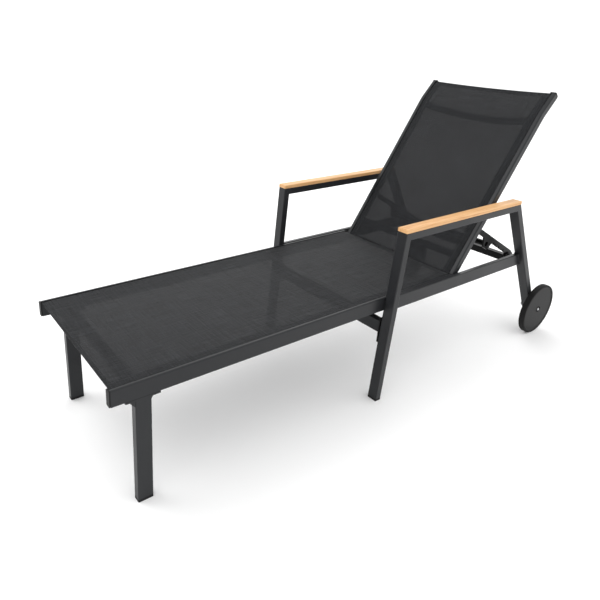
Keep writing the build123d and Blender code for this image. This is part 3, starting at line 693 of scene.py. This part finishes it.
def sewing_thread():
    """Bonded polyester thread, dark and a little shiny."""
    material, output = new_material("bonded_thread")
    where = add_node(material, "ShaderNodeTexCoord")
    twist = add_node(
        material, "ShaderNodeTexNoise",
        {"Vector": where.outputs["Object"], "Scale": 1 / THREAD_TWIST},
    )
    shade = add_node(
        material, "ShaderNodeMix",
        {
            "Factor": twist.outputs["Fac"],
            "A": hex_colour(THREAD_DYE[0]), "B": hex_colour(THREAD_DYE[1]),
        },
        data_type="RGBA",
    )
    shader = add_node(
        material, "ShaderNodeBsdfPrincipled",
        {"Base Color": shade.outputs["Result"], "Roughness": 0.5, "IOR": 1.5},
    )
    return finish_material(material, output, shader)


thread = sewing_thread()

# The seat sling: it runs from the foot end to just before the backrest hinge, nearly flat.
# It is cut from one length of mesh, hemmed all round and stitched twice along each side.
SEAT_SAG = 0.003
SEAT_STATIONS = 60
HEM_STATIONS = 60
rail_low, rail_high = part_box("seat_rail_right")
spline_low, spline_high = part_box("seat_spline_right")
seat_cad_low, seat_cad_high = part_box("seat_sling")
seat_slot = (spline_low.y + spline_high.y) / 2 - SLOT_EDGE
seat_level = rail_high.z - SHOULDER + CLOTH_LIFT
seat_start = seat_cad_low.x
seat_length = seat_cad_high.x - seat_cad_low.x


def seat_curve(distance):
    """Point and upward normal of the seat sling."""
    return Vector((seat_start + distance, 0, seat_level)), Vector((0, 0, 1))


def seat_sag(distance):
    """Slack at mid width: none at the ends, where the hems are stiffer."""
    return SEAT_SAG * (1 - (2 * distance / seat_length - 1) ** 4)


foot_fold = fold_in(FOLD, 1, END_HEM)
rear_fold = [(d, down) for d, down in reversed(fold_in(seat_length - FOLD, -1, END_HEM))]
seat_flats = [(d, 0.0) for d in spread(FOLD, seat_length - FOLD, SEAT_STATIONS)]
seat_stations = foot_fold + seat_flats + rear_fold
seat_cloth, seat_flat = cloth_strip(
    "seat_sling_cloth", seat_curve, seat_stations, sling_profile(seat_slot), seat_sag, SLING_CLOTH,
    open_mesh,
)


def side_hems(name, curve, sag, slot, length, end_hem):
    """The turned-under edges of a sling, one strip on each side just below it."""
    edge = slot - HEM_INSET
    below = (SLING_CLOTH + HEM_CLOTH) / 2 + HEM_GAP
    start = end_hem + HEM_CLEAR
    stations = [(d, below) for d in spread(start, length - end_hem - HEM_CLEAR, HEM_STATIONS)]
    made = []
    for side, sign in (("left", -1), ("right", 1)):
        profile = [(sign * y, 0.0) for y in spread(edge - SIDE_HEM, edge, HEM_ACROSS)]
        strip, flat = cloth_strip(
            f"{name}_{side}", curve, stations, profile, sag, HEM_CLOTH, hem_mesh
        )
        made.append(strip)
    return made


def seam_lines(slot, length, end_hem):
    """Two lines of stitching along each side hem of a sling and one across each end hem."""
    lines = []
    for sign in (-1, 1):
        for step in SIDE_SEAMS:
            y = sign * (slot - SIDE_HEM + step)
            lines.append(((SEAM_STOP, y), (length - SEAM_STOP, y)))
    for d in (end_hem - END_SEAM, length - end_hem + END_SEAM):
        lines.append(((d, -slot + SEAM_STOP), (d, slot - SEAM_STOP)))
    return lines


seat_hems = side_hems(
    "seat_side_hem", seat_curve, seat_sag, seat_slot, seat_length, END_HEM
)
seat_stitches = stitches(
    "seat_sling_stitches", seat_curve, seat_sag, seat_slot,
    seam_lines(seat_slot, seat_length, END_HEM), thread, SLING_CLOTH / 2,
)
for piece in [seat_cloth, seat_stitches] + seat_hems:
    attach(piece, "frame")
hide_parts("seat_sling")

# The back sling: it follows the rails from just above the hinge, over the bend at the
# head, to the rails' top ends. It slackens a little towards the top.
BACK_ANGLE = math.radians(57.5)
BACK_LONG = 0.65
HEAD_LONG = 0.09
HEAD_BEND = math.radians(10)
BEND_RADIUS = 0.15
RAIL_HALF = 0.012
BACK_START = -0.003
BACK_SAG = (0.0025, 0.007)
BACK_STATIONS = 90
TOP_HEM = 0.014

hinge = next(j for j in frame["joints"] if j["name"] == "backrest_recline")
hinge_at = Vector(hinge["pos_m"])
back_up = Vector((math.cos(BACK_ANGLE), 0, math.sin(BACK_ANGLE)))
back_out = Vector((-math.sin(BACK_ANGLE), 0, math.cos(BACK_ANGLE)))
bend_reach = BEND_RADIUS * math.tan(HEAD_BEND / 2)
bend_start = BACK_LONG - bend_reach
bend_arc = BEND_RADIUS * HEAD_BEND
back_length = bend_start + bend_arc + HEAD_LONG - bend_reach - BACK_START


def back_curve(distance):
    """Point and forward normal of the back sling, from its lower edge up."""
    run = BACK_START + distance
    turned = min(max((run - bend_start) / bend_arc, 0.0), 1.0) * HEAD_BEND
    angle = BACK_ANGLE - turned
    place = hinge_at + back_up * min(run, bend_start)
    normal = Vector((-math.sin(angle), 0, math.cos(angle)))
    if run > bend_start:
        place += (normal - back_out) * BEND_RADIUS
    if run > bend_start + bend_arc:
        past_bend = run - bend_start - bend_arc
        place += Vector((math.cos(angle), 0, math.sin(angle))) * past_bend
    return place + normal * (RAIL_HALF - SHOULDER + CLOTH_LIFT), normal


def back_sag(distance):
    """Slack at mid width, growing towards the head."""
    share = distance / back_length
    return BACK_SAG[0] + (BACK_SAG[1] - BACK_SAG[0]) * share ** 1.5


back_spline_low, back_spline_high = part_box("back_spline_right")
back_slot = (back_spline_low.y + back_spline_high.y) / 2 - SLOT_EDGE
low_fold = fold_in(FOLD, 1, TOP_HEM)
top_fold = [(d, down) for d, down in reversed(fold_in(back_length - FOLD, -1, TOP_HEM))]
back_flats = [(d, 0.0) for d in spread(FOLD, back_length - FOLD, BACK_STATIONS)]
back_stations = low_fold + back_flats + top_fold
back_cloth, back_flat = cloth_strip(
    "back_sling_cloth", back_curve, back_stations, sling_profile(back_slot), back_sag, SLING_CLOTH,
    open_mesh,
)
back_hems = side_hems(
    "back_side_hem", back_curve, back_sag, back_slot, back_length, TOP_HEM
)
back_stitches = stitches(
    "back_sling_stitches", back_curve, back_sag, back_slot,
    seam_lines(back_slot, back_length, TOP_HEM), thread, SLING_CLOTH / 2,
)
for piece in [back_cloth, back_stitches] + back_hems:
    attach(piece, "backrest")
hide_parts("back_sling")

# Weld beads: one run of fillet weld round each end of the stretchers, on the legs of the arm
# frames, and round the ends of the foot bar and the backrest's low bar, coated with the rest.
BEAD = 0.0022
REAR_RAKE = math.radians(32.3)
FRONT_LEAN = math.radians(1.7)
LOW_BAR = (0.025, 0.016)
LOW_BAR_AT = (0.08, -0.006)


def weld_beads(name, loops, body):
    """Closed round beads through these corner points, as one piece on a body."""
    curve = bpy.data.curves.new(name, "CURVE")
    curve.dimensions = "3D"
    curve.bevel_depth = BEAD
    curve.bevel_resolution = 3
    for corners in loops:
        spline = curve.splines.new("POLY")
        spline.points.add(len(corners) - 1)
        for point, corner in zip(spline.points, corners):
            point.co = (*corner, 1)
        spline.use_cyclic_u = True
    new_piece(name, curve)
    bpy.ops.object.convert(target="MESH")
    piece = bpy.context.object
    bpy.ops.object.shade_smooth_by_angle(angle=CREASE)
    piece.data.materials.append(graphite)
    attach(piece, body)
    return piece


def joint_loop(x, slope, low, high):
    """Corners of a tube's end that starts at x and leans by slope as it rises."""
    around = ((low.y, low.z), (high.y, low.z), (high.y, high.z), (low.y, high.z))
    return [(x + slope * (z - low.z), y, z) for y, z in around]


frame_welds = []
for side in ("left", "right"):
    low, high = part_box(f"stretcher_{side}")
    frame_welds.append(joint_loop(high.x, -math.tan(REAR_RAKE), low, high))
    frame_welds.append(joint_loop(low.x, math.tan(FRONT_LEAN), low, high))
low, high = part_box("foot_crossbar")
for y in (low.y, high.y):
    frame_welds.append(
        [(low.x, y, low.z), (high.x, y, low.z), (high.x, y, high.z), (low.x, y, high.z)]
    )
weld_beads("frame_weld_beads", frame_welds, "frame")

low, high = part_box("back_low_bar")
bar_middle = hinge_at + back_up * LOW_BAR_AT[0] + back_out * LOW_BAR_AT[1]
back_welds = []
for y in (low.y, high.y):
    corners = []
    for u, v in ((-1, -1), (1, -1), (1, 1), (-1, 1)):
        corner = bar_middle + back_up * LOW_BAR[0] / 2 * u + back_out * LOW_BAR[1] / 2 * v
        corners.append((corner.x, y, corner.z))
    back_welds.append(corners)
weld_beads("back_weld_beads", back_welds, "backrest")
